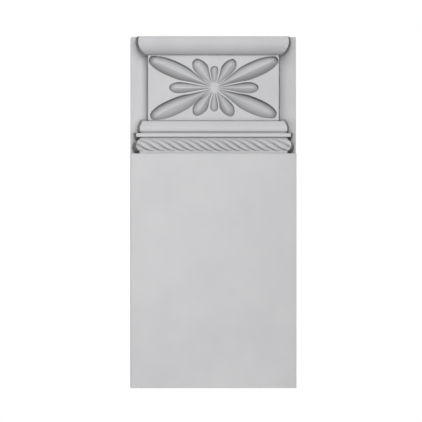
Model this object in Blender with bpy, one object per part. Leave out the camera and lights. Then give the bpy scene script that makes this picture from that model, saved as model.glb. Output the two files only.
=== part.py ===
# Moulded plinth block for a door surround, cast in one piece.
# Metres, Z up, the front faces -Y and the flat back faces +Y.
import math

import bmesh
import bpy

# Overall block
WIDTH = 0.108
HEIGHT = 0.2286
DEPTH = 0.0286
PLINTH_HEIGHT = 0.1524
BACKING_DEPTH = 0.0086
PLINTH_DRAFT = math.radians(0.6)
CORNER_CHIP = 0.0015

# Cap, measured outwards from the face of the die
DIE_WIDTH = 0.0847
DIE_DEPTH = 0.0113
CAP_DRAFT = math.radians(6.0)
BEAD_RADIUS = 0.00954
BEAD_CENTRE_BELOW_TOP = 0.0033
BEAD_CENTRE_BEHIND_DIE = 0.0031
DIE_HEIGHT = 0.0423
CYMA_TOP_OUT = 0.0035
CYMA_WAIST_OUT = 0.00545
CYMA_ROUND_HEIGHT = 0.0060
CYMA_SWEEP_HEIGHT = 0.0025
FILLET_OUT = 0.0077
FILLET_HEIGHT = 0.0027
BED_OUT = 0.00545

# Rope
ROPE_RADIUS = 0.0043
ROPE_CENTRE_OUT = 0.00305
ROPE_CENTRE_ABOVE_PLINTH = 0.0051
ROPE_STRANDS = 16
ROPE_LAY = math.radians(45.0)
ROPE_GROOVE = 0.0009
ROPE_SHIFT = 0.0012
ROPE_FADE = 0.22
ROPE_END_GAP = 0.0004
WIDE_STRAND_SHARE = 0.60
SHALLOW_GROOVE_HEIGHT = 0.44
NARROW_STRAND_RISE = 0.30
RETURN_BULGE = 0.0010
RETURN_DROP = 0.0006
RETURN_NECK = 0.0003

# Flower of twelve petals, lengths measured from its centre
ROOT_RADIUS = 0.0039
BIG_ANGLE = math.radians(24.6)
BIG_LENGTH = 0.0455
BIG_WIDTH = 0.0111
BIG_FULLEST = 0.60
SIDE_LENGTH = 0.0291
SIDE_WIDTH = 0.0067
SIDE_FULLEST = 0.74
MIDDLE_ANGLE = math.radians(57.0)
MIDDLE_LENGTH = 0.0224
MIDDLE_WIDTH = 0.0076
MIDDLE_FULLEST = 0.68
UPRIGHT_LENGTH = 0.0149
UPRIGHT_WIDTH = 0.0051
UPRIGHT_FULLEST = 0.66
PETAL_ROOT_SHARE = 0.14
PETAL_SWELL = 1.2
PETAL_TIP_ROUND = 2.2
PETAL_SLOPE = 0.60
PETAL_WALL = 0.00035
STEEP_SIDE_DEPTH = 1.15
EASY_SIDE_DEPTH = 0.85
STEEP_SIDE_POWER = 1.6
EASY_SIDE_POWER = 1.25
TIP_POWER_GAIN = 0.6
TIP_DROP = 0.55
TIP_DROP_START = 0.35

# Fineness of the faceted solid
BEAD_STEPS = 9
CYMA_STEPS = 5
SWEEP_STEPS = 4
ROPE_ROWS = 10
STRAND_PLACES = (0.0, 0.07, 0.20, 0.34, 0.48, 0.60, 0.72, 0.86)
PETAL_STEPS = 11
PETAL_ROWS = 8
PETAL_CROWDING = 1.5
CHIP_STEPS = 3

BACK_Y = DEPTH / 2
BOARD_Y = BACK_Y - BACKING_DEPTH
DIE_Y = BOARD_Y - DIE_DEPTH
OVERLAP = 0.0010
BEAD_Z = HEIGHT - BEAD_CENTRE_BELOW_TOP
DIE_TOP = BEAD_Z - math.sqrt(BEAD_RADIUS**2 - BEAD_CENTRE_BEHIND_DIE**2)
DIE_BOTTOM = DIE_TOP - DIE_HEIGHT
WAIST_Z = DIE_BOTTOM - CYMA_ROUND_HEIGHT
FILLET_TOP = WAIST_Z - CYMA_SWEEP_HEIGHT
FILLET_BOTTOM = FILLET_TOP - FILLET_HEIGHT
ROPE_Z = PLINTH_HEIGHT + ROPE_CENTRE_ABOVE_PLINTH
ROPE_ARC = math.acos((BED_OUT - ROPE_CENTRE_OUT) / ROPE_RADIUS)
ROPE_PITCH = (DIE_WIDTH + 2 * (ROPE_CENTRE_OUT + ROPE_RADIUS)) / ROPE_STRANDS
FLOWER_Z = (DIE_TOP + DIE_BOTTOM) / 2


def clear_scene():
    for obj in list(bpy.data.objects):
        bpy.data.objects.remove(obj)


def make_material(name, colour, roughness):
    material = bpy.data.materials.new(name)
    material.use_nodes = True
    shader = material.node_tree.nodes["Principled BSDF"]
    shader.inputs["Base Color"].default_value = (*colour, 1.0)
    shader.inputs["Roughness"].default_value = roughness
    shader.inputs["Metallic"].default_value = 0.0
    return material


def add_mesh(name, verts, faces):
    mesh = bpy.data.meshes.new(name)
    mesh.from_pydata(verts, [], faces)
    shell = bmesh.new()
    shell.from_mesh(mesh)
    bmesh.ops.recalc_face_normals(shell, faces=shell.faces)
    shell.to_mesh(mesh)
    shell.free()
    obj = bpy.data.objects.new(name, mesh)
    bpy.context.scene.collection.objects.link(obj)
    return obj


def apply_boolean(target, tool, operation):
    tool.hide_render = True
    tool.display_type = "WIRE"
    modifier = target.modifiers.new(tool.name, "BOOLEAN")
    modifier.object = tool
    modifier.operation = operation
    modifier.solver = "EXACT"


def upper_profile():
    """Outline of the mouldings above the rope as (out from die, height), from the top down."""
    points = []
    first = math.asin(BEAD_CENTRE_BELOW_TOP / BEAD_RADIUS)
    last = -math.acos(BEAD_CENTRE_BEHIND_DIE / BEAD_RADIUS)
    for i in range(BEAD_STEPS + 1):
        a = first + (last - first) * i / BEAD_STEPS
        out = BEAD_RADIUS * math.cos(a) - BEAD_CENTRE_BEHIND_DIE
        points.append((out, BEAD_Z + BEAD_RADIUS * math.sin(a)))
    points[-1] = (0.0, DIE_TOP)
    points.append((0.0, DIE_BOTTOM))
    for i in range(CYMA_STEPS + 1):
        a = math.radians(90.0) * i / CYMA_STEPS
        out = CYMA_TOP_OUT + (CYMA_WAIST_OUT - CYMA_TOP_OUT) * math.sin(a)
        points.append((out, DIE_BOTTOM - CYMA_ROUND_HEIGHT * i / CYMA_STEPS))
    for i in range(1, SWEEP_STEPS + 1):
        a = math.radians(90.0) * i / SWEEP_STEPS
        out = CYMA_WAIST_OUT + (FILLET_OUT - CYMA_WAIST_OUT) * (1 - math.cos(a))
        points.append((out, WAIST_Z - CYMA_SWEEP_HEIGHT * math.sin(a)))
    points.append((FILLET_OUT, FILLET_BOTTOM))
    points.append((BED_OUT, FILLET_BOTTOM))
    return points


def grow_outline(points):
    """The same outline where it meets the board, pushed out all round by the draft."""
    grown = []
    for i, (out, z) in enumerate(points):
        grow = (DIE_DEPTH + out) * math.tan(CAP_DRAFT)
        normals = []
        for a, b in ((i - 1, i), (i, i + 1)):
            if a < 0 or b >= len(points):
                continue
            step_out = points[b][0] - points[a][0]
            step_z = points[b][1] - points[a][1]
            size = math.hypot(step_out, step_z)
            normals.append((-step_z / size, step_out / size))
        if len(normals) == 1:
            normals.append(normals[0])
        share = 1 + normals[0][0] * normals[1][0] + normals[0][1] * normals[1][1]
        push_out = (normals[0][0] + normals[1][0]) / share
        push_z = (normals[0][1] + normals[1][1]) / share
        grown.append((out + grow * push_out, z + grow * push_z))
    return grown


def strand_height(place):
    """Height of the rope's skin at a place in one pitch: 1 on a wide strand, 0 in a deep groove."""
    if place < WIDE_STRAND_SHARE:
        t = place / WIDE_STRAND_SHARE
        floor = SHALLOW_GROOVE_HEIGHT * t * t
        return floor + (1 - floor) * math.sin(math.pi * t) ** 0.7
    t = (place - WIDE_STRAND_SHARE) / (1 - WIDE_STRAND_SHARE)
    return SHALLOW_GROOVE_HEIGHT * (1 - t * t) + NARROW_STRAND_RISE * math.sin(math.pi * t)


def rope_row(angle, edge):
    """Points along the front of the rope at one level, standing on the twist of its strands."""
    lean = ROPE_RADIUS * angle * math.tan(ROPE_LAY) + ROPE_SHIFT
    fade = min(1.0, (1 - abs(angle) / ROPE_ARC) / ROPE_FADE)
    points = []
    for turn in range(-ROPE_STRANDS, ROPE_STRANDS + 1):
        for place in STRAND_PLACES:
            x = (turn + place) * ROPE_PITCH - lean
            if abs(x) > edge - ROPE_END_GAP:
                continue
            radius = ROPE_RADIUS - ROPE_GROOVE * fade * (1 - strand_height(place))
            out = ROPE_CENTRE_OUT + radius * math.cos(angle)
            points.append((x, DIE_Y - out, ROPE_Z + radius * math.sin(angle)))
    return points


def stitch(upper, lower, upper_keys, lower_keys):
    """Triangles between two rows of unequal length, following the twist."""
    faces = []
    i = 0
    j = 0
    while i < len(upper) - 1 or j < len(lower) - 1:
        step_upper = i < len(upper) - 1
        if step_upper and j < len(lower) - 1:
            step_upper = upper_keys[i + 1] + upper_keys[i] < lower_keys[j + 1] + lower_keys[j]
        if step_upper:
            faces.append((upper[i], lower[j], upper[i + 1]))
            i += 1
        else:
            faces.append((upper[i], lower[j], lower[j + 1]))
            j += 1
    return faces


def build_cap():
    """Closed body of the cap, its front in level strips and its sides in drafted returns."""
    half = DIE_WIDTH / 2
    front = upper_profile()
    back = grow_outline(front)
    back[0] = (back[0][0], HEIGHT)
    rope_back = []
    for i in range(ROPE_ROWS + 1):
        angle = ROPE_ARC * (1 - 2 * i / ROPE_ROWS)
        out = ROPE_CENTRE_OUT + ROPE_RADIUS * math.cos(angle)
        front.append((out, ROPE_Z + ROPE_RADIUS * math.sin(angle)))
        grow = (DIE_DEPTH + out) * math.tan(CAP_DRAFT) + RETURN_BULGE
        drop = RETURN_DROP * (1 - abs(angle) / ROPE_ARC)
        rope_back.append((out + grow, ROPE_Z + ROPE_RADIUS * math.sin(angle) - drop))
    neck_out, neck_z = rope_back[0]
    back[-2:] = [(neck_out, neck_z + 2 * RETURN_NECK), (neck_out, neck_z + RETURN_NECK)]
    back += rope_back
    front.append((BED_OUT, PLINTH_HEIGHT - OVERLAP))
    back.append((rope_back[-1][0], PLINTH_HEIGHT - OVERLAP))

    rope_first = len(front) - ROPE_ROWS - 2
    verts = []
    rows = []
    keys = []
    for i, (out, z) in enumerate(front):
        y = DIE_Y - out
        edge = half + out
        points = [(-edge, y, z), (edge, y, z)]
        lean = 0.0
        if rope_first <= i <= rope_first + ROPE_ROWS:
            angle = ROPE_ARC * (1 - 2 * (i - rope_first) / ROPE_ROWS)
            lean = ROPE_RADIUS * angle * math.tan(ROPE_LAY)
            points[1:1] = rope_row(angle, edge)
        rows.append(list(range(len(verts), len(verts) + len(points))))
        keys.append([point[0] + lean for point in points])
        verts += points
    left = []
    right = []
    for out, z in back:
        left.append(len(verts))
        verts.append((-half - out, BOARD_Y + OVERLAP, z))
        right.append(len(verts))
        verts.append((half + out, BOARD_Y + OVERLAP, z))

    faces = []
    for i in range(len(rows) - 1):
        upper, lower = rows[i], rows[i + 1]
        if len(upper) > 2 and len(lower) > 2:
            faces += stitch(upper, lower, keys[i], keys[i + 1])
        else:
            faces.append(tuple(lower) + tuple(reversed(upper)))
        faces.append((left[i], left[i + 1], lower[0]))
        faces.append((left[i], lower[0], upper[0]))
        faces.append((right[i + 1], right[i], lower[-1]))
        faces.append((right[i], upper[-1], lower[-1]))
    faces.append((left[0], rows[0][0], rows[0][-1], right[0]))
    faces.append((rows[-1][0], left[-1], right[-1], rows[-1][-1]))
    faces.append(tuple(left[::-1]) + tuple(right))
    return add_mesh("cap_body", verts, faces)


def build_box(name, x, y_front, y_back, z_top, narrow=0.0, chip=0.0):
    """A block standing on its base, its front narrower by the draft, its top left corner rounded."""
    points = [(-x, 0.0), (x, 0.0), (x, z_top)]
    for i in range(CHIP_STEPS + 1 if chip else 1):
        a = math.radians(90.0) * i / CHIP_STEPS
        points.append((-x + chip * (1 - math.sin(a)), z_top - chip * (1 - math.cos(a))))
    verts = [(px * (x - narrow) / x, y_front, pz) for px, pz in points]
    verts += [(px, y_back, pz) for px, pz in points]
    n = len(points)
    faces = [tuple(range(n)), tuple(range(2 * n - 1, n - 1, -1))]
    for i in range(n):
        j = (i + 1) % n
        faces.append((i, i + n, j + n, j))
    return add_mesh(name, verts, faces)


def petal_width(u, fullest):
    """Width of a petal along its length, as a share of its greatest width."""
    if u < fullest:
        swell = math.sin(math.pi / 2 * u / fullest) ** PETAL_SWELL
        return PETAL_ROOT_SHARE + (1 - PETAL_ROOT_SHARE) * swell
    v = (u - fullest) / (1 - fullest)
    return max(0.0, 1 - v**PETAL_TIP_ROUND) ** (1 / PETAL_TIP_ROUND)


def petal_depth(u, v, width, fullest, steep_side):
    """Depth under the die face of a sunk petal that swells to a crest along its middle."""
    share = petal_width(min(u, fullest), fullest)
    steep = v * steep_side > 0
    deepest = PETAL_SLOPE * width / 2
    rim = deepest * share * (STEEP_SIDE_DEPTH if steep else EASY_SIDE_DEPTH)
    power = (STEEP_SIDE_POWER if steep else EASY_SIDE_POWER) + TIP_POWER_GAIN * u * u
    crest = deepest * TIP_DROP * max(0.0, (u - TIP_DROP_START) / (1 - TIP_DROP_START)) ** 2
    return PETAL_WALL * share + crest + (rim - crest / 2) * abs(v) ** power


def build_petal(name, angle, length, width, fullest, steep_side):
    """Cutter for one petal: its floor is the petal's skin and its lid stands clear of the die."""
    verts = []
    columns = []
    for i in range(PETAL_STEPS + 1):
        t = i / PETAL_STEPS
        u = 1 - (1 - t) ** PETAL_CROWDING
        half = width / 2 * petal_width(u, fullest)
        reach = ROOT_RADIUS + (length - ROOT_RADIUS) * u
        column = []
        if i == PETAL_STEPS:
            places = [0.0]
        else:
            places = [-1 + 2 * j / PETAL_ROWS for j in range(PETAL_ROWS + 1)]
        for v in places:
            depth = petal_depth(u, v, width, fullest, steep_side)
            x = reach * math.cos(angle) - half * v * math.sin(angle)
            z = reach * math.sin(angle) + half * v * math.cos(angle)
            column.append(len(verts))
            verts.append((x, DIE_Y + depth, FLOWER_Z + z))
        columns.append(column)
    faces = []
    for first, second in zip(columns, columns[1:]):
        if len(second) == 1:
            for j in range(PETAL_ROWS):
                faces.append((first[j], second[0], first[j + 1]))
        else:
            for j in range(PETAL_ROWS):
                faces.append((first[j], second[j], second[j + 1]))
                faces.append((first[j], second[j + 1], first[j + 1]))
    rim = [c[0] for c in columns] + [c[-1] for c in columns[-2::-1]]
    rim += columns[0][-2:0:-1]
    lid = []
    for index in rim:
        x, y, z = verts[index]
        lid.append(len(verts))
        verts.append((x, DIE_Y - OVERLAP, z))
    for i in range(len(rim)):
        j = (i + 1) % len(rim)
        faces.append((rim[i], lid[i], lid[j], rim[j]))
    faces.append(tuple(lid[::-1]))
    return add_mesh(name, verts, faces)


def petal_list():
    """Angle, length, width, fullest place and steep side of each of the twelve petals."""
    petals = []
    for side in (0, 1):
        petals.append((math.pi * side, SIDE_LENGTH, SIDE_WIDTH, SIDE_FULLEST, 0))
        upright = math.pi / 2 + math.pi * side
        petals.append((upright, UPRIGHT_LENGTH, UPRIGHT_WIDTH, UPRIGHT_FULLEST, 0))
        for lift in (-1, 1):
            steep = -lift
            big = math.pi * side + lift * BIG_ANGLE
            petals.append((big, BIG_LENGTH, BIG_WIDTH, BIG_FULLEST, steep))
            middle = math.pi * side + lift * MIDDLE_ANGLE
            petals.append((middle, MIDDLE_LENGTH, MIDDLE_WIDTH, MIDDLE_FULLEST, -steep))
    return petals


def join_petals(petals):
    verts = []
    faces = []
    for petal in petals:
        start = len(verts)
        verts += [tuple(v.co) for v in petal.data.vertices]
        faces += [tuple(start + i for i in p.vertices) for p in petal.data.polygons]
        bpy.data.objects.remove(petal)
    return add_mesh("flower_cutter", verts, faces)


clear_scene()
primer = make_material("white_primer", (0.62, 0.62, 0.63), 0.62)

narrow = (DEPTH - BACKING_DEPTH + OVERLAP) * math.tan(PLINTH_DRAFT)
block = build_box("plinth_block", WIDTH / 2, BOARD_Y, BACK_Y, HEIGHT, chip=CORNER_CHIP)
plinth = build_box("plinth_body", WIDTH / 2, -BACK_Y, BOARD_Y + OVERLAP, PLINTH_HEIGHT, narrow)
cap = build_cap()
flower = join_petals([build_petal(f"petal_{i}", *p) for i, p in enumerate(petal_list())])
apply_boolean(block, plinth, "UNION")
apply_boolean(block, cap, "UNION")
apply_boolean(block, flower, "DIFFERENCE")
block.data.materials.append(primer)
for poly in block.data.polygons:
    poly.use_smooth = False
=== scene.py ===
import math
import bmesh
import bpy
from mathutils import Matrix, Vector


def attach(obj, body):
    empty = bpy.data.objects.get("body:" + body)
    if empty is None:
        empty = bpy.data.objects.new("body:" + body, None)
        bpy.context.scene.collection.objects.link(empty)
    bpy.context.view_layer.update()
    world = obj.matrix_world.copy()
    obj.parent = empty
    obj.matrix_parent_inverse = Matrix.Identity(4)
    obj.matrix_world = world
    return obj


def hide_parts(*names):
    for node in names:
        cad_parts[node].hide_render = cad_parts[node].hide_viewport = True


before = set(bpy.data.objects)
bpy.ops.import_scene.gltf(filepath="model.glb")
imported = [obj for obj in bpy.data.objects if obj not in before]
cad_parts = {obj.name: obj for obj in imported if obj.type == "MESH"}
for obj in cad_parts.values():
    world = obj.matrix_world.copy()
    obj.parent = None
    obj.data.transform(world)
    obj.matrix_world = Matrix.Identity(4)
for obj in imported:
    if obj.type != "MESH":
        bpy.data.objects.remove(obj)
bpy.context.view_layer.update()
print("frame loaded")


# small helpers, used for every part of the block

def leaveEdit():
    if bpy.context.mode != "OBJECT":
        bpy.ops.object.mode_set(mode="OBJECT")
    bpy.ops.object.select_all(action="DESELECT")


def work(piece):                      # makes one piece active, and opens it in edit mode
    leaveEdit()
    piece.select_set(True)
    bpy.context.view_layer.objects.active = piece
    bpy.ops.object.mode_set(mode="EDIT")


def pick(piece, kind, test):          # selects the verts, edges or faces that pass the test
    bpy.ops.mesh.select_mode(type={"verts": "VERT", "edges": "EDGE", "faces": "FACE"}[kind])
    bpy.ops.mesh.select_all(action="DESELECT")
    shell = bmesh.from_edit_mesh(piece.data)
    for part in getattr(shell, kind):
        if test(part):
            part.select_set(True)
    shell.select_flush_mode()
    bmesh.update_edit_mesh(piece.data)


def finishShape(piece, name):         # place into the mesh, doubles merged, normals outwards
    leaveEdit()
    piece.select_set(True)
    bpy.context.view_layer.objects.active = piece
    bpy.ops.object.transform_apply(location=True, rotation=True, scale=True)
    work(piece)
    bpy.ops.mesh.select_all(action="SELECT")
    bpy.ops.mesh.remove_doubles(threshold=1e-6)
    bpy.ops.mesh.normals_make_consistent(inside=False)
    leaveEdit()
    piece.name = piece.data.name = name
    return piece


def combine(piece, tools, operation):  # exact boolean, applied, and the tools are thrown away
    for tool in tools:
        leaveEdit()
        piece.select_set(True)
        bpy.context.view_layer.objects.active = piece
        cut = piece.modifiers.new("cut", "BOOLEAN")
        cut.object = tool
        cut.operation = operation
        cut.solver = "EXACT"
        bpy.ops.object.modifier_apply(modifier=cut.name)
        bpy.data.objects.remove(tool)


def between(low, high, share):
    return low + (high - low) * share


# backing board and base

block = {
    "width": 0.108, "height": 0.2286, "depth": 0.0286,
    "baseHeight": 0.1524, "boardThick": 0.0086,
    "baseDraft": 0.4,                 # degrees the base narrows to the front
    "baseIn": 0.0002,                 # it is a little narrower than the board
    "arris": 0.00035,                 # softened edges of the casting
    "roundedCorner": 0.0015,          # only the top left corner is round
}
backY = block["depth"] / 2
boardY = backY - block["boardThick"]
halfWidth = block["width"] / 2


def makeBoard():
    leaveEdit()
    bpy.ops.mesh.primitive_cube_add(
        size=1, location=(0, (boardY + backY) / 2, block["height"] / 2),
        scale=(block["width"], block["boardThick"], block["height"]))
    board = bpy.context.active_object
    bpy.ops.object.transform_apply(location=True, rotation=True, scale=True)
    work(board)
    pick(board, "edges", lambda e: all(v.co.x < 0 and v.co.z > 0.2 for v in e.verts))
    bpy.ops.mesh.bevel(offset=block["roundedCorner"], segments=6, affect="EDGES")
    pick(board, "faces", lambda f: f.normal.y < -0.9)
    bpy.ops.mesh.bevel(offset=block["arris"], segments=2, affect="EDGES")
    return finishShape(board, "board")


def makeBase():
    leaveEdit()
    front = -backY
    back = boardY + 0.001
    bpy.ops.mesh.primitive_cube_add(
        size=1, location=(0, (front + back) / 2, block["baseHeight"] / 2),
        scale=(block["width"] - block["baseIn"], back - front, block["baseHeight"]))
    base = bpy.context.active_object
    bpy.ops.object.transform_apply(location=True, rotation=True, scale=True)
    work(base)
    pick(base, "faces", lambda f: f.normal.y < -0.9)
    narrow = (back - front) * math.tan(math.radians(block["baseDraft"]))
    bpy.ops.transform.resize(value=(1 - narrow / halfWidth, 1, 1), center_override=(0, 0, 0))
    pick(base, "edges", lambda e: all(v.co.y < -0.01 for v in e.verts)
         and not all(v.co.z < 0.01 for v in e.verts))
    bpy.ops.mesh.bevel(offset=block["arris"], segments=3, affect="EDGES")
    return finishShape(base, "base")


# cap: one edge drawn down the mouldings, then its two sides drawn back to the board

cap = {
    "dieWidth": 0.0850, "dieDepth": 0.0113, "draft": 6.0,
    "beadRadius": 0.00954, "beadBelowTop": 0.0033, "beadBehindDie": 0.0031,
    "dieHeight": 0.0423,
    "quirkIn": 0.0006, "quirkHeight": 0.0005,  # narrow groove between the panel and the cyma
    "cymaEdge": 0.00035,              # rounding of the top edge of the cyma
    "cymaTop": 0.0035, "cymaWaist": 0.00545, "cymaHeight": 0.0073, "cymaCurl": 0.00015,
    "coveHeight": 0.0012, "coveIn": 0.0009, "filletOut": 0.0077, "filletHeight": 0.0023,
    "undercutOut": 0.0046, "undercutHeight": 0.0005,   # dark groove under the fillet
    "bedOut": 0.00545,
    "softCorner": 0.00018,            # rounding of the small moulded edges
}
rope = {
    "radius": 0.0043, "out": 0.00357, "aboveBase": 0.0054,
    "rows": 28, "columns": (20, 20),  # the strips are cut across twice
    "turns": (-0.395, 0.1671, -4.76e-6),  # strands counted from the middle: x in mm, then x cubed
    "lay": 36.5, "bend": 0.65, "groove": 0.0022,   # the strands flatten to the top and bottom
    "crease": 0.16, "creaseAt": 0.66, "creaseWide": 0.06,
    "fadeTop": 0.10, "fadeBottom": 0.03, "endFade": 0.0010,
    "neck": (0.0077, 0.16040),        # the plain round returns of the rope, on the board
    "returnOut": 0.0106, "returnZ": 0.15655, "returnHalf": 0.00375,
}
dieY = boardY - cap["dieDepth"]
beadZ = block["height"] - cap["beadBelowTop"]
dieTop = beadZ - math.sqrt(cap["beadRadius"] ** 2 - cap["beadBehindDie"] ** 2)
dieBottom = dieTop - cap["dieHeight"]
waistZ = dieBottom - cap["cymaHeight"]
filletTop = waistZ - cap["coveHeight"]
filletBottom = filletTop - cap["filletHeight"]
ropeZ = block["baseHeight"] + rope["aboveBase"]
ropeArc = math.acos((cap["bedOut"] - rope["out"]) / rope["radius"])
flowerZ = (dieTop + dieBottom) / 2


def softened(points, corners):        # rounds the corners of an outline, each by its own radius
    done = []
    for i, here in enumerate(points):
        if i not in corners:
            done.append(here)
            continue
        before, after = Vector(points[i - 1]), Vector(points[i + 1])
        middle = Vector(here)
        start = middle + (before - middle).normalized() * corners[i]
        end = middle + (after - middle).normalized() * corners[i]
        for step in range(5):
            t = step / 4
            done.append(tuple(start * (1 - t) ** 2 + middle * 2 * t * (1 - t) + end * t * t))
    return done


def frontOutline():                   # (out from the die, height), from the top down
    points = []
    first = math.asin(cap["beadBelowTop"] / cap["beadRadius"])
    last = -math.acos(cap["beadBehindDie"] / cap["beadRadius"])
    for i in range(29):
        a = between(first, last, i / 28)
        points.append((cap["beadRadius"] * math.cos(a) - cap["beadBehindDie"],
                       beadZ + cap["beadRadius"] * math.sin(a)))
    points[-1] = (0.0, dieTop)
    points.append((0.0, dieBottom))
    cymaZ = dieBottom - cap["quirkHeight"]
    points.append((-cap["quirkIn"], dieBottom))
    points.append((-cap["quirkIn"], cymaZ))
    corners = {len(points): cap["cymaEdge"]}
    for i in range(15):
        t = i / 14
        swell = math.sin(math.radians(90) * min(1.0, t / 0.8))
        curl = cap["cymaCurl"] * max(0.0, t / 0.2 - 4) ** 2
        points.append((between(cap["cymaTop"], cap["cymaWaist"], swell) - curl,
                       between(cymaZ, waistZ, t)))
    hollow = points[-1][0]
    for i in range(1, 9):
        t = i / 8
        points.append((hollow - cap["coveIn"] * math.sin(math.pi * t ** 0.7) ** 0.8,
                       waistZ - cap["coveHeight"] * t))
    points.append((cap["filletOut"], filletTop))
    corners[len(points) - 1] = corners[len(points)] = cap["softCorner"]
    points.append((cap["filletOut"], filletBottom))
    points.append((cap["undercutOut"], filletBottom))
    points.append((cap["undercutOut"], filletBottom - cap["undercutHeight"]))
    points.append((cap["bedOut"], filletBottom - cap["undercutHeight"]))
    return softened(points, corners)


def ropeOutline():
    return [(rope["out"] + rope["radius"] * math.cos(a), ropeZ + rope["radius"] * math.sin(a), a)
            for a in (ropeArc * (1 - 2 * i / rope["rows"]) for i in range(rope["rows"] + 1))]


def strandHeight(place):              # 1 on a plump strand, 0 in a deep groove, with a fine crease
    crease = rope["crease"] * math.exp(-((place - rope["creaseAt"]) / rope["creaseWide"]) ** 2)
    return math.sin(math.pi * place) ** 0.85 - crease


def boardOutline(front, twist):       # where each front row ends on the board, grown by the draft
    tan = math.tan(math.radians(cap["draft"]))
    dieGrow = cap["dieDepth"] * tan
    done = []
    first = math.asin(cap["beadBelowTop"] / cap["beadRadius"])
    last = -math.acos((cap["beadBehindDie"] + dieGrow) / (cap["beadRadius"] + dieGrow))
    for i in range(29):               # bead, cut level by the top of the block
        a = between(first, last, i / 28)
        radius = cap["beadRadius"] + (cap["dieDepth"] + front[i][0]) * tan * (1 - max(0, a / first))
        done.append((radius * math.cos(a) - cap["beadBehindDie"] + (
            (cap["dieDepth"] + front[i][0]) * tan * max(0, a / first)),
            beadZ + radius * math.sin(a)))
    under = len(front) - 8            # first row of the soft lower edge of the fillet
    for i in range(29, under):
        out, z = front[i]
        grow = (cap["dieDepth"] + out) * tan
        lift = max(0.0, min(1.0, (z - filletTop) / (dieBottom - filletTop)))
        done.append((out + grow, z + grow * (0.35 * (1 - lift) + lift)))
    neck = rope["neck"]
    start = done[-1]
    for i in range(5):                # lower edge of the fillet, which sags towards the neck
        t = (i + 1) / 6
        turn = math.radians(90) * t
        done.append((between(neck[0], start[0], math.cos(turn) ** 0.6),
                     between(start[1], neck[1], t ** 1.1)))
    done += [(neck[0], neck[1] + 2e-4), (neck[0], neck[1] + 1e-4), neck]
    for out, z, a in twist:
        turn = math.radians(90) * a / ropeArc
        done.append((between(neck[0], rope["returnOut"], math.cos(turn)),
                     rope["returnZ"] + rope["returnHalf"] * math.sin(turn)))
    done.append((done[-1][0], block["baseHeight"] - 0.001))
    return done


def makeCap():
    leaveEdit()
    upper = frontOutline()
    twist = ropeOutline()
    rows = upper + [(out, z) for out, z, a in twist]
    rows.append((cap["bedOut"], block["baseHeight"] - 0.001))
    back = boardOutline(upper, twist)

    halfDie = cap["dieWidth"] / 2
    out, z = rows[0]
    width = halfDie + out
    bpy.ops.mesh.primitive_plane_add(size=2 * width, location=(0, dieY - out + width, z))
    piece = bpy.context.active_object
    bpy.ops.object.transform_apply(location=True, rotation=True, scale=True)
    work(piece)
    middleY = dieY - out + width
    pick(piece, "verts", lambda v: v.co.y > middleY)
    bpy.ops.mesh.delete(type="VERT")  # leaves the front edge alone
    bpy.ops.mesh.select_mode(type="EDGE")
    bpy.ops.mesh.select_all(action="SELECT")
    for (lastOut, lastZ), (out, z) in zip(rows, rows[1:]):
        bpy.ops.mesh.extrude_region_move(
            TRANSFORM_OT_translate={"value": (0, lastOut - out, z - lastZ)})
        bpy.ops.transform.resize(
            value=((halfDie + out) / (halfDie + lastOut), 1, 1), center_override=(0, 0, 0))
    leaveEdit()

    # sides: each border is drawn back and flattened on the board, then set to the drafted outline
    for side in (-1, 1):
        work(piece)
        pick(piece, "edges", lambda e: len(e.link_faces) == 1
             and all(v.co.x * side > halfDie - 0.001 for v in e.verts)
             and (e.verts[0].co.x - e.verts[1].co.x) ** 2 < 0.01 ** 2)
        bpy.ops.mesh.extrude_region_move(TRANSFORM_OT_translate={"value": (0, 0.001, 0)})
        bpy.ops.transform.resize(value=(1, 0, 1), center_override=(0, boardY + 0.001, 0))
        shell = bmesh.from_edit_mesh(piece.data)
        ends = [v for v in shell.verts if v.select]
        order = {}
        for v in ends:                # the front end of each side edge says which row it is
            front = next(e.other_vert(v) for e in v.link_edges if not e.other_vert(v).select)
            order[v] = min(range(len(rows)), key=lambda i: (
                abs(front.co.y - (dieY - rows[i][0])) + abs(front.co.z - rows[i][1])))
        for v, i in order.items():
            v.co.x = side * (halfDie + back[i][0])
            v.co.z = back[i][1]
        bmesh.update_edit_mesh(piece.data)
    work(piece)
    last = len(rows) - 1
    for low, high in ((rows[0][1] - 1e-4, 1.0), (-1.0, rows[last][1] + 1e-4)):
        pick(piece, "verts", lambda v: low < v.co.z < high)
        bpy.ops.mesh.edge_face_add()
    pick(piece, "verts", lambda v: v.co.y > boardY + 0.0005)
    bpy.ops.mesh.edge_face_add()

    # rope: its level strips are cut across, and every point is set on the twist of the strands
    def inRope(z):
        return twist[-1][1] - 1e-5 < z < twist[0][1] + 1e-5

    for cuts in rope["columns"]:
        pick(piece, "edges", lambda e: all(inRope(v.co.z) and v.co.y < boardY for v in e.verts)
             and abs(e.verts[0].co.z - e.verts[1].co.z) < 1e-7)
        bpy.ops.mesh.subdivide(number_cuts=cuts, quadcorner="INNERVERT")
    shell = bmesh.from_edit_mesh(piece.data)
    lay = math.tan(math.radians(rope["lay"]))
    for v in shell.verts:
        if not inRope(v.co.z) or v.co.y > boardY:
            continue
        a = math.atan2(v.co.z - ropeZ, dieY - v.co.y - rope["out"])
        edge = halfDie + rope["out"] + rope["radius"] * math.cos(a) - abs(v.co.x)
        x = 1000 * (v.co.x + rope["radius"] * (a + rope["bend"] * a ** 3) * lay)
        turn = rope["turns"][0] + rope["turns"][1] * x + rope["turns"][2] * x ** 3
        share = rope["fadeTop" if a > 0 else "fadeBottom"]
        fade = min(1.0, max(0.0, 1 - abs(a) / ropeArc) / share)
        fade *= min(1.0, max(0.0, edge / rope["endFade"]))
        radius = rope["radius"] - rope["groove"] * fade * (1 - strandHeight(turn % 1))
        v.co.y = dieY - rope["out"] - radius * math.cos(a)
        v.co.z = ropeZ + radius * math.sin(a)
    bmesh.update_edit_mesh(piece.data)
    return finishShape(piece, "cap")


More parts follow.
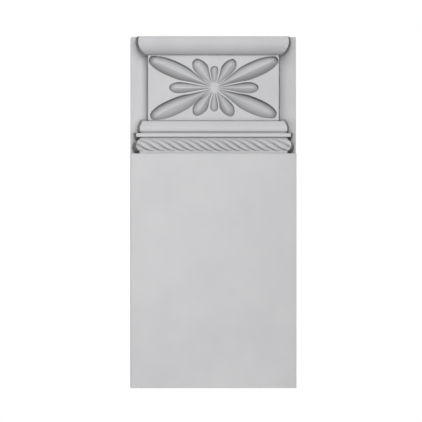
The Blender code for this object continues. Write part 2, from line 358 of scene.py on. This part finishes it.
# flower: twelve sunk petals, each swelling to a crest along its middle

flower = {
    "offset": (0.00065, 0.0001),      # the flower sits a little to the right and above the middle
    "grid": (60, 36),
    "edge": 0.955,                    # share of the half width where the flank meets its wall
    "clear": 0.0003,                  # how far the wall of the cutter stands out of the face
    "crestRound": 0.07,               # how soft the crest is
    "outer": (0.72, 0.74), "inner": (0.92, 1.02),  # slope of a flank beside its crest and its edge
    "root": 0.0020,                   # the petals come up to the face over this length
    "tipLength": 1.2,                 # length of the rounded tip in half widths
    "kinds": {
        # outlines in mm: distance from the centre, half width on the inner and outer side
        "big": {"steep": 1.0, "uneven": 1.0, "outline": (
            (2.0, 0.25, 0.25), (4.0, 0.62, 0.7), (7.1, 1.2, 1.45), (9.1, 1.6, 1.95), (11.0, 2.05, 2.4),
            (13.0, 2.5, 2.9), (14.9, 2.95, 3.45), (16.9, 3.45, 4.05), (18.8, 4.05, 4.65),
            (20.8, 4.55, 5.05), (22.7, 4.95, 5.25), (26.6, 5.3, 5.45), (30.5, 5.4, 5.45),
            (34.4, 5.35, 5.15), (38.3, 4.9, 4.4), (40.2, 4.45, 3.8), (42.2, 3.75, 3.1),
            (44.1, 2.6, 2.1), (45.3, 0, 0))},
        "side": {"steep": 0.95, "uneven": 0.5, "outline": (
            (2.0, 0.2, 0.2), (4.0, 0.6, 0.6), (7.8, 1.25, 1.25), (9.7, 1.6, 1.6), (11.7, 2.0, 2.0),
            (13.6, 2.4, 2.4), (15.6, 2.8, 2.8), (17.5, 3.15, 3.15), (19.5, 3.45, 3.45),
            (21.4, 3.62, 3.62), (23.4, 3.65, 3.65), (25.3, 3.3, 3.3), (27.2, 2.5, 2.5),
            (28.3, 1.5, 1.5), (28.9, 0, 0))},
        "middle": {"steep": 0.95, "uneven": 0.7, "outline": (
            (2.4, 0.3, 0.3), (4.5, 0.85, 0.85), (6.5, 1.35, 1.45), (7.8, 1.75, 1.9), (9.1, 2.2, 2.45),
            (10.4, 2.7, 2.95), (11.7, 3.25, 3.35), (13.0, 3.75, 3.65), (14.3, 3.98, 3.88),
            (15.6, 4.0, 4.1), (16.9, 3.8, 4.15), (18.2, 3.45, 4.05), (19.5, 2.95, 3.6),
            (20.8, 2.2, 2.9), (21.8, 1.35, 1.9), (22.4, 0, 0))},
        "upright": {"steep": 0.95, "uneven": 0.5, "outline": (
            (2.4, 0.4, 0.4), (3.9, 0.85, 0.85), (5.7, 1.4, 1.4), (7.8, 1.9, 1.9), (9.1, 2.1, 2.1),
            (10.4, 2.3, 2.3), (11.7, 2.4, 2.4), (12.7, 2.25, 2.25), (13.6, 1.6, 1.6), (14.3, 0, 0))},
    },
    "petals": [                       # kind, degrees, inner side (1 is left of the way out), stretches
        ("big", 24.7, -1, 1.002, 1.0), ("big", 155.7, 1, 1.027, 1.0),
        ("big", 205.2, -1, 1.012, 1.0), ("big", 335.5, 1, 0.975, 1.0),
        ("side", 0.0, 1, 0.994, 1.0), ("side", 180.0, 1, 1.02, 1.0),
        ("middle", 55.0, 1, 1.0, 1.03), ("middle", 124.3, -1, 1.0, 1.12),
        ("middle", 234.7, 1, 0.98, 1.08), ("middle", 301.8, -1, 0.97, 1.02),
        ("upright", 90.3, 1, 0.985, 1.07), ("upright", 269.4, 1, 1.08, 1.07)],
}


def smoothAt(x, table, column):       # a smooth curve through the rows of a table
    rows = table
    if x <= rows[0][0]:
        return rows[0][column]
    for i in range(len(rows) - 1):
        if x <= rows[i + 1][0]:
            break
    p0, p1, p2, p3 = (rows[max(0, min(len(rows) - 1, i + k))] for k in (-1, 0, 1, 2))
    wide = p2[0] - p1[0]
    t = min(1.0, (x - p1[0]) / wide)
    m1 = (p2[column] - p0[column]) / max(1e-9, p2[0] - p0[0]) * wide
    m2 = (p3[column] - p1[column]) / max(1e-9, p3[0] - p1[0]) * wide
    if i == len(rows) - 2:            # the tip closes round
        return p1[column] * math.sqrt(max(0.0, 1 - t * t))
    return ((2 * t ** 3 - 3 * t * t + 1) * p1[column] + (t ** 3 - 2 * t * t + t) * m1
            + (3 * t * t - 2 * t ** 3) * p2[column] + (t ** 3 - t * t) * m2)


def petalDepth(rim, slopes, halfWide):         # rim is 0 on the crest and 1 at the edge
    soft = flower["crestRound"]
    crest = math.sqrt(rim * rim + soft * soft) - soft
    return halfWide * (slopes[0] * crest + (slopes[1] - slopes[0]) * rim * rim / 2)


def makePetal(kind, inner):           # cutter lying along +X from the centre of the flower
    spec = flower["kinds"][kind]
    table = [tuple(value / 1000 for value in row) for row in spec["outline"]]
    start, tip = table[0][0], table[-1][0]
    full = max(row[1] + row[2] for row in table) / 2
    fullAt = tip - flower["tipLength"] * full
    leaveEdit()
    along, across = flower["grid"]
    bpy.ops.mesh.primitive_grid_add(x_subdivisions=along, y_subdivisions=across, size=2)
    petal = bpy.context.active_object
    work(petal)
    shell = bmesh.from_edit_mesh(petal.data)
    for v in shell.verts:
        t, side = (v.co.x + 1) / 2, v.co.y
        u = 1 - (1 - t) ** 1.7
        reach = between(start, tip, u)
        column = 1 if side * inner > 0 else 2
        half = smoothAt(reach, table, column) if t < 1 else 0.0
        rimHere = side if abs(side) > 0.999 else side / (1 - 2 / across) * flower["edge"]
        wide = smoothAt(min(reach, fullAt), table, column)
        over = max(0.0, (reach - fullAt) / (tip - fullAt))
        aside = min(1.0, abs(rimHere) / flower["edge"]) * half / wide
        rim = min(1.0, (over ** 2.2 + aside ** 2.2) ** (1 / 2.2))
        lean = 0.5 + 0.5 * math.tanh(3 * side * inner) * (1 - over * over) * spec["uneven"]
        slopes = [spec["steep"] * between(low, high, lean)
                  for low, high in zip(flower["outer"], flower["inner"])]
        fade = min(1.0, (reach - start) / flower["root"])
        fade = fade * fade * (3 - 2 * fade)
        depth = petalDepth(rim, slopes, between(wide, full, over)) * fade + 2e-5
        if abs(side) > 0.999 or t > 0.999:
            depth = -flower["clear"]
        v.co = (reach, depth, half * rimHere)
    bmesh.update_edit_mesh(petal.data)
    bpy.ops.mesh.select_all(action="SELECT")
    bpy.ops.mesh.remove_doubles(threshold=2e-6)
    pick(petal, "edges", lambda e: len(e.link_faces) == 1)
    bpy.ops.mesh.extrude_region_move(TRANSFORM_OT_translate={"value": (0, -0.001, 0)})
    bpy.ops.transform.resize(value=(1, 0, 1), center_override=(0, -0.001, 0))
    bpy.ops.mesh.edge_face_add()      # the lid, clear of the face of the die
    return finishShape(petal, kind)


def makeFlower():
    made = {}
    petals = []
    for kind, angle, inner, longer, wider in flower["petals"]:
        if (kind, inner) not in made:
            made[(kind, inner)] = makePetal(kind, inner)
        leaveEdit()
        made[(kind, inner)].select_set(True)
        bpy.context.view_layer.objects.active = made[(kind, inner)]
        bpy.ops.object.duplicate()
        petal = bpy.context.active_object
        petal.scale[0] = longer
        petal.scale[2] = wider
        petal.rotation_euler[1] = -math.radians(angle)
        petal.location = (flower["offset"][0], dieY, flowerZ + flower["offset"][1])
        petals.append(finishShape(petal, "petal"))
    for source in made.values():
        bpy.data.objects.remove(source)
    return petals


plinthBlock = makeBoard()
print("board made")
combine(plinthBlock, [makeBase()], "UNION")
print("base made")
combine(plinthBlock, [makeCap()], "UNION")
print("cap made")
combine(plinthBlock, makeFlower(), "DIFFERENCE")
print("flower cut")
finishShape(plinthBlock, "plinthBlock")
plinthBlock.select_set(True)
bpy.context.view_layer.objects.active = plinthBlock
bpy.ops.object.shade_smooth_by_angle(angle=math.radians(32))


# white factory primer

primer = {
    "colour": (0.62, 0.62, 0.63), "shade": (0.58, 0.58, 0.592),
    "roughness": 0.62, "mottle": 38.0, "grain": 900.0, "bump": 0.06,
    "paintedShade": 0.50, "paintedShadeReach": 0.0035,      # painted shade in the hollows: how dark at the deepest, and how wide
    "flawAt": (0.0508, -0.0143, 0.1502), "flawReach": 0.0055, "flaw": 9.0,   # a small rough place
}


def mottleGroup():                    # soft patches in colour and shine, and a fine grain
    group = bpy.data.node_groups.new("primerMottle", "ShaderNodeTree")
    for name, kind in (("Place", "NodeSocketVector"), ("Patch Scale", "NodeSocketFloat"),
                       ("Grain Scale", "NodeSocketFloat")):
        group.interface.new_socket(name, in_out="INPUT", socket_type=kind)
    for name in ("Patches", "Grain"):
        group.interface.new_socket(name, in_out="OUTPUT", socket_type="NodeSocketFloat")
    nodes, links = group.nodes, group.links
    entry = nodes.new("NodeGroupInput")
    leave = nodes.new("NodeGroupOutput")
    patches = nodes.new("ShaderNodeTexNoise")
    patches.inputs["Detail"].default_value = 3.0
    grain = nodes.new("ShaderNodeTexNoise")
    grain.inputs["Detail"].default_value = 2.0
    links.new(entry.outputs["Place"], patches.inputs["Vector"])
    links.new(entry.outputs["Place"], grain.inputs["Vector"])
    links.new(entry.outputs["Patch Scale"], patches.inputs["Scale"])
    links.new(entry.outputs["Grain Scale"], grain.inputs["Scale"])
    links.new(patches.outputs["Fac"], leave.inputs["Patches"])
    links.new(grain.outputs["Fac"], leave.inputs["Grain"])
    return group


def paintedShadeGroup():                    # painted shade: the primer colour is darkened in hollows and along inner corners
    group = bpy.data.node_groups.new("primerPaintedShade", "ShaderNodeTree")
    for name, kind in (("Colour", "NodeSocketColor"), ("Darkest", "NodeSocketFloat"),
                       ("Reach", "NodeSocketFloat")):
        group.interface.new_socket(name, in_out="INPUT", socket_type=kind)
    group.interface.new_socket("Colour", in_out="OUTPUT", socket_type="NodeSocketColor")
    nodes, links = group.nodes, group.links
    entry = nodes.new("NodeGroupInput")
    leave = nodes.new("NodeGroupOutput")
    # the occlusion found on the piece sets how much painted shade darkens the colour
    hollow = nodes.new("ShaderNodeAmbientOcclusion")
    hollow.samples = 16
    hollow.only_local = True
    tint = nodes.new("ShaderNodeMapRange")
    tint.inputs["To Max"].default_value = 1.0
    blend = nodes.new("ShaderNodeVectorMath")
    blend.operation = "SCALE"
    links.new(entry.outputs["Reach"], hollow.inputs["Distance"])
    links.new(hollow.outputs["AO"], tint.inputs["Value"])
    links.new(entry.outputs["Darkest"], tint.inputs["To Min"])
    links.new(entry.outputs["Colour"], blend.inputs[0])
    links.new(tint.outputs["Result"], blend.inputs["Scale"])
    links.new(blend.outputs["Vector"], leave.inputs["Colour"])
    return group


def flawGroup():                      # rough paint round one place, none beyond its reach
    group = bpy.data.node_groups.new("primerFlaw", "ShaderNodeTree")
    for name, kind in (("Place", "NodeSocketVector"), ("Centre", "NodeSocketVector"),
                       ("Reach", "NodeSocketFloat"), ("Roughness", "NodeSocketFloat"),
                       ("Grain", "NodeSocketFloat")):
        group.interface.new_socket(name, in_out="INPUT", socket_type=kind)
    group.interface.new_socket("Height", in_out="OUTPUT", socket_type="NodeSocketFloat")
    nodes, links = group.nodes, group.links
    entry = nodes.new("NodeGroupInput")
    leave = nodes.new("NodeGroupOutput")
    away = nodes.new("ShaderNodeVectorMath")
    away.operation = "DISTANCE"
    share = nodes.new("ShaderNodeMapRange")
    share.interpolation_type = "SMOOTHSTEP"
    share.inputs["From Max"].default_value = 0.001
    share.inputs["To Min"].default_value = 0.0
    specks = nodes.new("ShaderNodeTexNoise")
    specks.inputs["Scale"].default_value = 700.0
    specks.inputs["Detail"].default_value = 3.0
    rough = nodes.new("ShaderNodeMath")
    rough.operation = "MULTIPLY"
    height = nodes.new("ShaderNodeMath")
    height.operation = "ADD"
    links.new(entry.outputs["Place"], away.inputs[0])
    links.new(entry.outputs["Centre"], away.inputs[1])
    links.new(away.outputs["Value"], share.inputs["Value"])
    links.new(entry.outputs["Reach"], share.inputs["From Min"])
    links.new(entry.outputs["Roughness"], share.inputs["To Max"])
    links.new(entry.outputs["Place"], specks.inputs["Vector"])
    links.new(share.outputs["Result"], rough.inputs[0])
    links.new(specks.outputs["Fac"], rough.inputs[1])
    links.new(rough.outputs["Value"], height.inputs[0])
    links.new(entry.outputs["Grain"], height.inputs[1])
    links.new(height.outputs["Value"], leave.inputs["Height"])
    return group


def makePrimer():
    material = bpy.data.materials.new("whitePrimer")
    material.use_nodes = True
    nodes, links = material.node_tree.nodes, material.node_tree.links
    shader = nodes["Principled BSDF"]
    place = nodes.new("ShaderNodeTexCoord")
    mottle = nodes.new("ShaderNodeGroup")
    mottle.node_tree = mottleGroup()
    mottle.inputs["Patch Scale"].default_value = primer["mottle"]
    mottle.inputs["Grain Scale"].default_value = primer["grain"]
    links.new(place.outputs["Object"], mottle.inputs["Place"])
    ramp = nodes.new("ShaderNodeValToRGB")
    ramp.color_ramp.elements[0].position = 0.3
    ramp.color_ramp.elements[0].color = (*primer["shade"], 1)
    ramp.color_ramp.elements[1].position = 0.7
    ramp.color_ramp.elements[1].color = (*primer["colour"], 1)
    links.new(mottle.outputs["Patches"], ramp.inputs["Fac"])
    # painted shade: the base colour is darkened in hollows and inner corners
    paintedShade = nodes.new("ShaderNodeGroup")
    paintedShade.node_tree = paintedShadeGroup()
    paintedShade.inputs["Darkest"].default_value = primer["paintedShade"]
    paintedShade.inputs["Reach"].default_value = primer["paintedShadeReach"]
    links.new(ramp.outputs["Color"], paintedShade.inputs["Colour"])
    links.new(paintedShade.outputs["Colour"], shader.inputs["Base Color"])
    shine = nodes.new("ShaderNodeMapRange")
    shine.inputs["To Min"].default_value = primer["roughness"] - 0.05
    shine.inputs["To Max"].default_value = primer["roughness"] + 0.05
    links.new(mottle.outputs["Patches"], shine.inputs["Value"])
    links.new(shine.outputs["Result"], shader.inputs["Roughness"])
    bump = nodes.new("ShaderNodeBump")
    bump.inputs["Strength"].default_value = primer["bump"]
    bump.inputs["Distance"].default_value = 0.0002
    flaw = nodes.new("ShaderNodeGroup")
    flaw.node_tree = flawGroup()
    flaw.inputs["Centre"].default_value = primer["flawAt"]
    flaw.inputs["Reach"].default_value = primer["flawReach"]
    flaw.inputs["Roughness"].default_value = primer["flaw"]
    links.new(place.outputs["Object"], flaw.inputs["Place"])
    links.new(mottle.outputs["Grain"], flaw.inputs["Grain"])
    links.new(flaw.outputs["Height"], bump.inputs["Height"])
    links.new(bump.outputs["Normal"], shader.inputs["Normal"])
    shader.inputs["Specular IOR Level"].default_value = 0.35
    return material


plinthBlock.data.materials.clear()
plinthBlock.data.materials.append(makePrimer())
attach(plinthBlock, "root")
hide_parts("plinth_block")
print("primer on,", len(plinthBlock.data.polygons), "faces")


# floor, light and camera

studio = {
    "floorSize": 4.0,
    "cameraDistance": 3.2, "cameraTurn": 0.9, "cameraX": -0.0015, "cameraZ": 0.115, "view": 0.2739,
    "lights": [                       # place, size, watts
        ((0.408, -2.906, 0.764), 1.5, 44.0),
        ((-0.362, -2.573, 1.64), 1.5, 25.0),
        ((-1.99, -1.67, 1.64), 1.5, 4.6),
        ((-0.15, -0.364, 0.14), 0.12, 0.25),
        ((0.8, 2.2, 1.2), 1.5, 6.0)],  # faint, for the back
    "aim": (0, 0, 0.12),
}


def makeFloor():
    leaveEdit()
    bpy.ops.mesh.primitive_plane_add(size=studio["floorSize"], location=(0, 0, 0))
    floor = bpy.context.active_object
    bpy.ops.object.transform_apply(location=True, rotation=True, scale=True)
    floor.name = floor.data.name = "floor"
    material = bpy.data.materials.new("whiteFloor")
    material.use_nodes = True
    nodes, links = material.node_tree.nodes, material.node_tree.links
    shader = nodes["Principled BSDF"]
    shader.inputs["Base Color"].default_value = (0.4, 0.4, 0.4, 1)
    shader.inputs["Roughness"].default_value = 0.9
    glow = nodes.new("ShaderNodeEmission")
    glow.inputs["Strength"].default_value = 1.0
    seen = nodes.new("ShaderNodeLightPath")
    mix = nodes.new("ShaderNodeMixShader")
    links.new(seen.outputs["Is Camera Ray"], mix.inputs["Fac"])
    links.new(shader.outputs["BSDF"], mix.inputs[1])
    links.new(glow.outputs["Emission"], mix.inputs[2])
    links.new(mix.outputs["Shader"], nodes["Material Output"].inputs["Surface"])
    floor.data.materials.append(material)


def makeWorld():
    world = bpy.data.worlds.new("studioWhite")
    bpy.context.scene.world = world
    world.use_nodes = True
    nodes, links = world.node_tree.nodes, world.node_tree.links
    room = nodes["Background"]
    room.inputs["Color"].default_value = (1, 1, 1, 1)
    seen = nodes.new("ShaderNodeLightPath")
    strength = nodes.new("ShaderNodeMapRange")
    strength.inputs["To Min"].default_value = 0.0
    strength.inputs["To Max"].default_value = 1.0
    links.new(seen.outputs["Is Camera Ray"], strength.inputs["Value"])
    links.new(strength.outputs["Result"], room.inputs["Strength"])


def makeLight(place, size, watts):
    leaveEdit()
    bpy.ops.object.light_add(type="AREA", location=place)
    light = bpy.context.active_object
    light.data.size = size
    light.data.energy = watts
    light.visible_camera = False
    light.rotation_euler = (Vector(studio["aim"]) - Vector(place)).to_track_quat("-Z", "Y").to_euler()


def makeCamera():
    leaveEdit()
    turn = math.radians(studio["cameraTurn"])         # the camera stands a little to the left
    away = studio["cameraDistance"] + backY
    bpy.ops.object.camera_add(
        location=(studio["cameraX"] - away * math.sin(turn), -away * math.cos(turn), studio["cameraZ"]),
        rotation=(math.radians(90), 0, -turn))
    camera = bpy.context.active_object
    camera.data.lens = 36 * studio["cameraDistance"] / studio["view"]
    camera.data.sensor_width = 36
    bpy.context.scene.camera = camera


makeFloor()
makeWorld()
for light in studio["lights"]:
    makeLight(*light)
makeCamera()
bpy.context.scene.view_settings.view_transform = "Standard"
print("studio set")
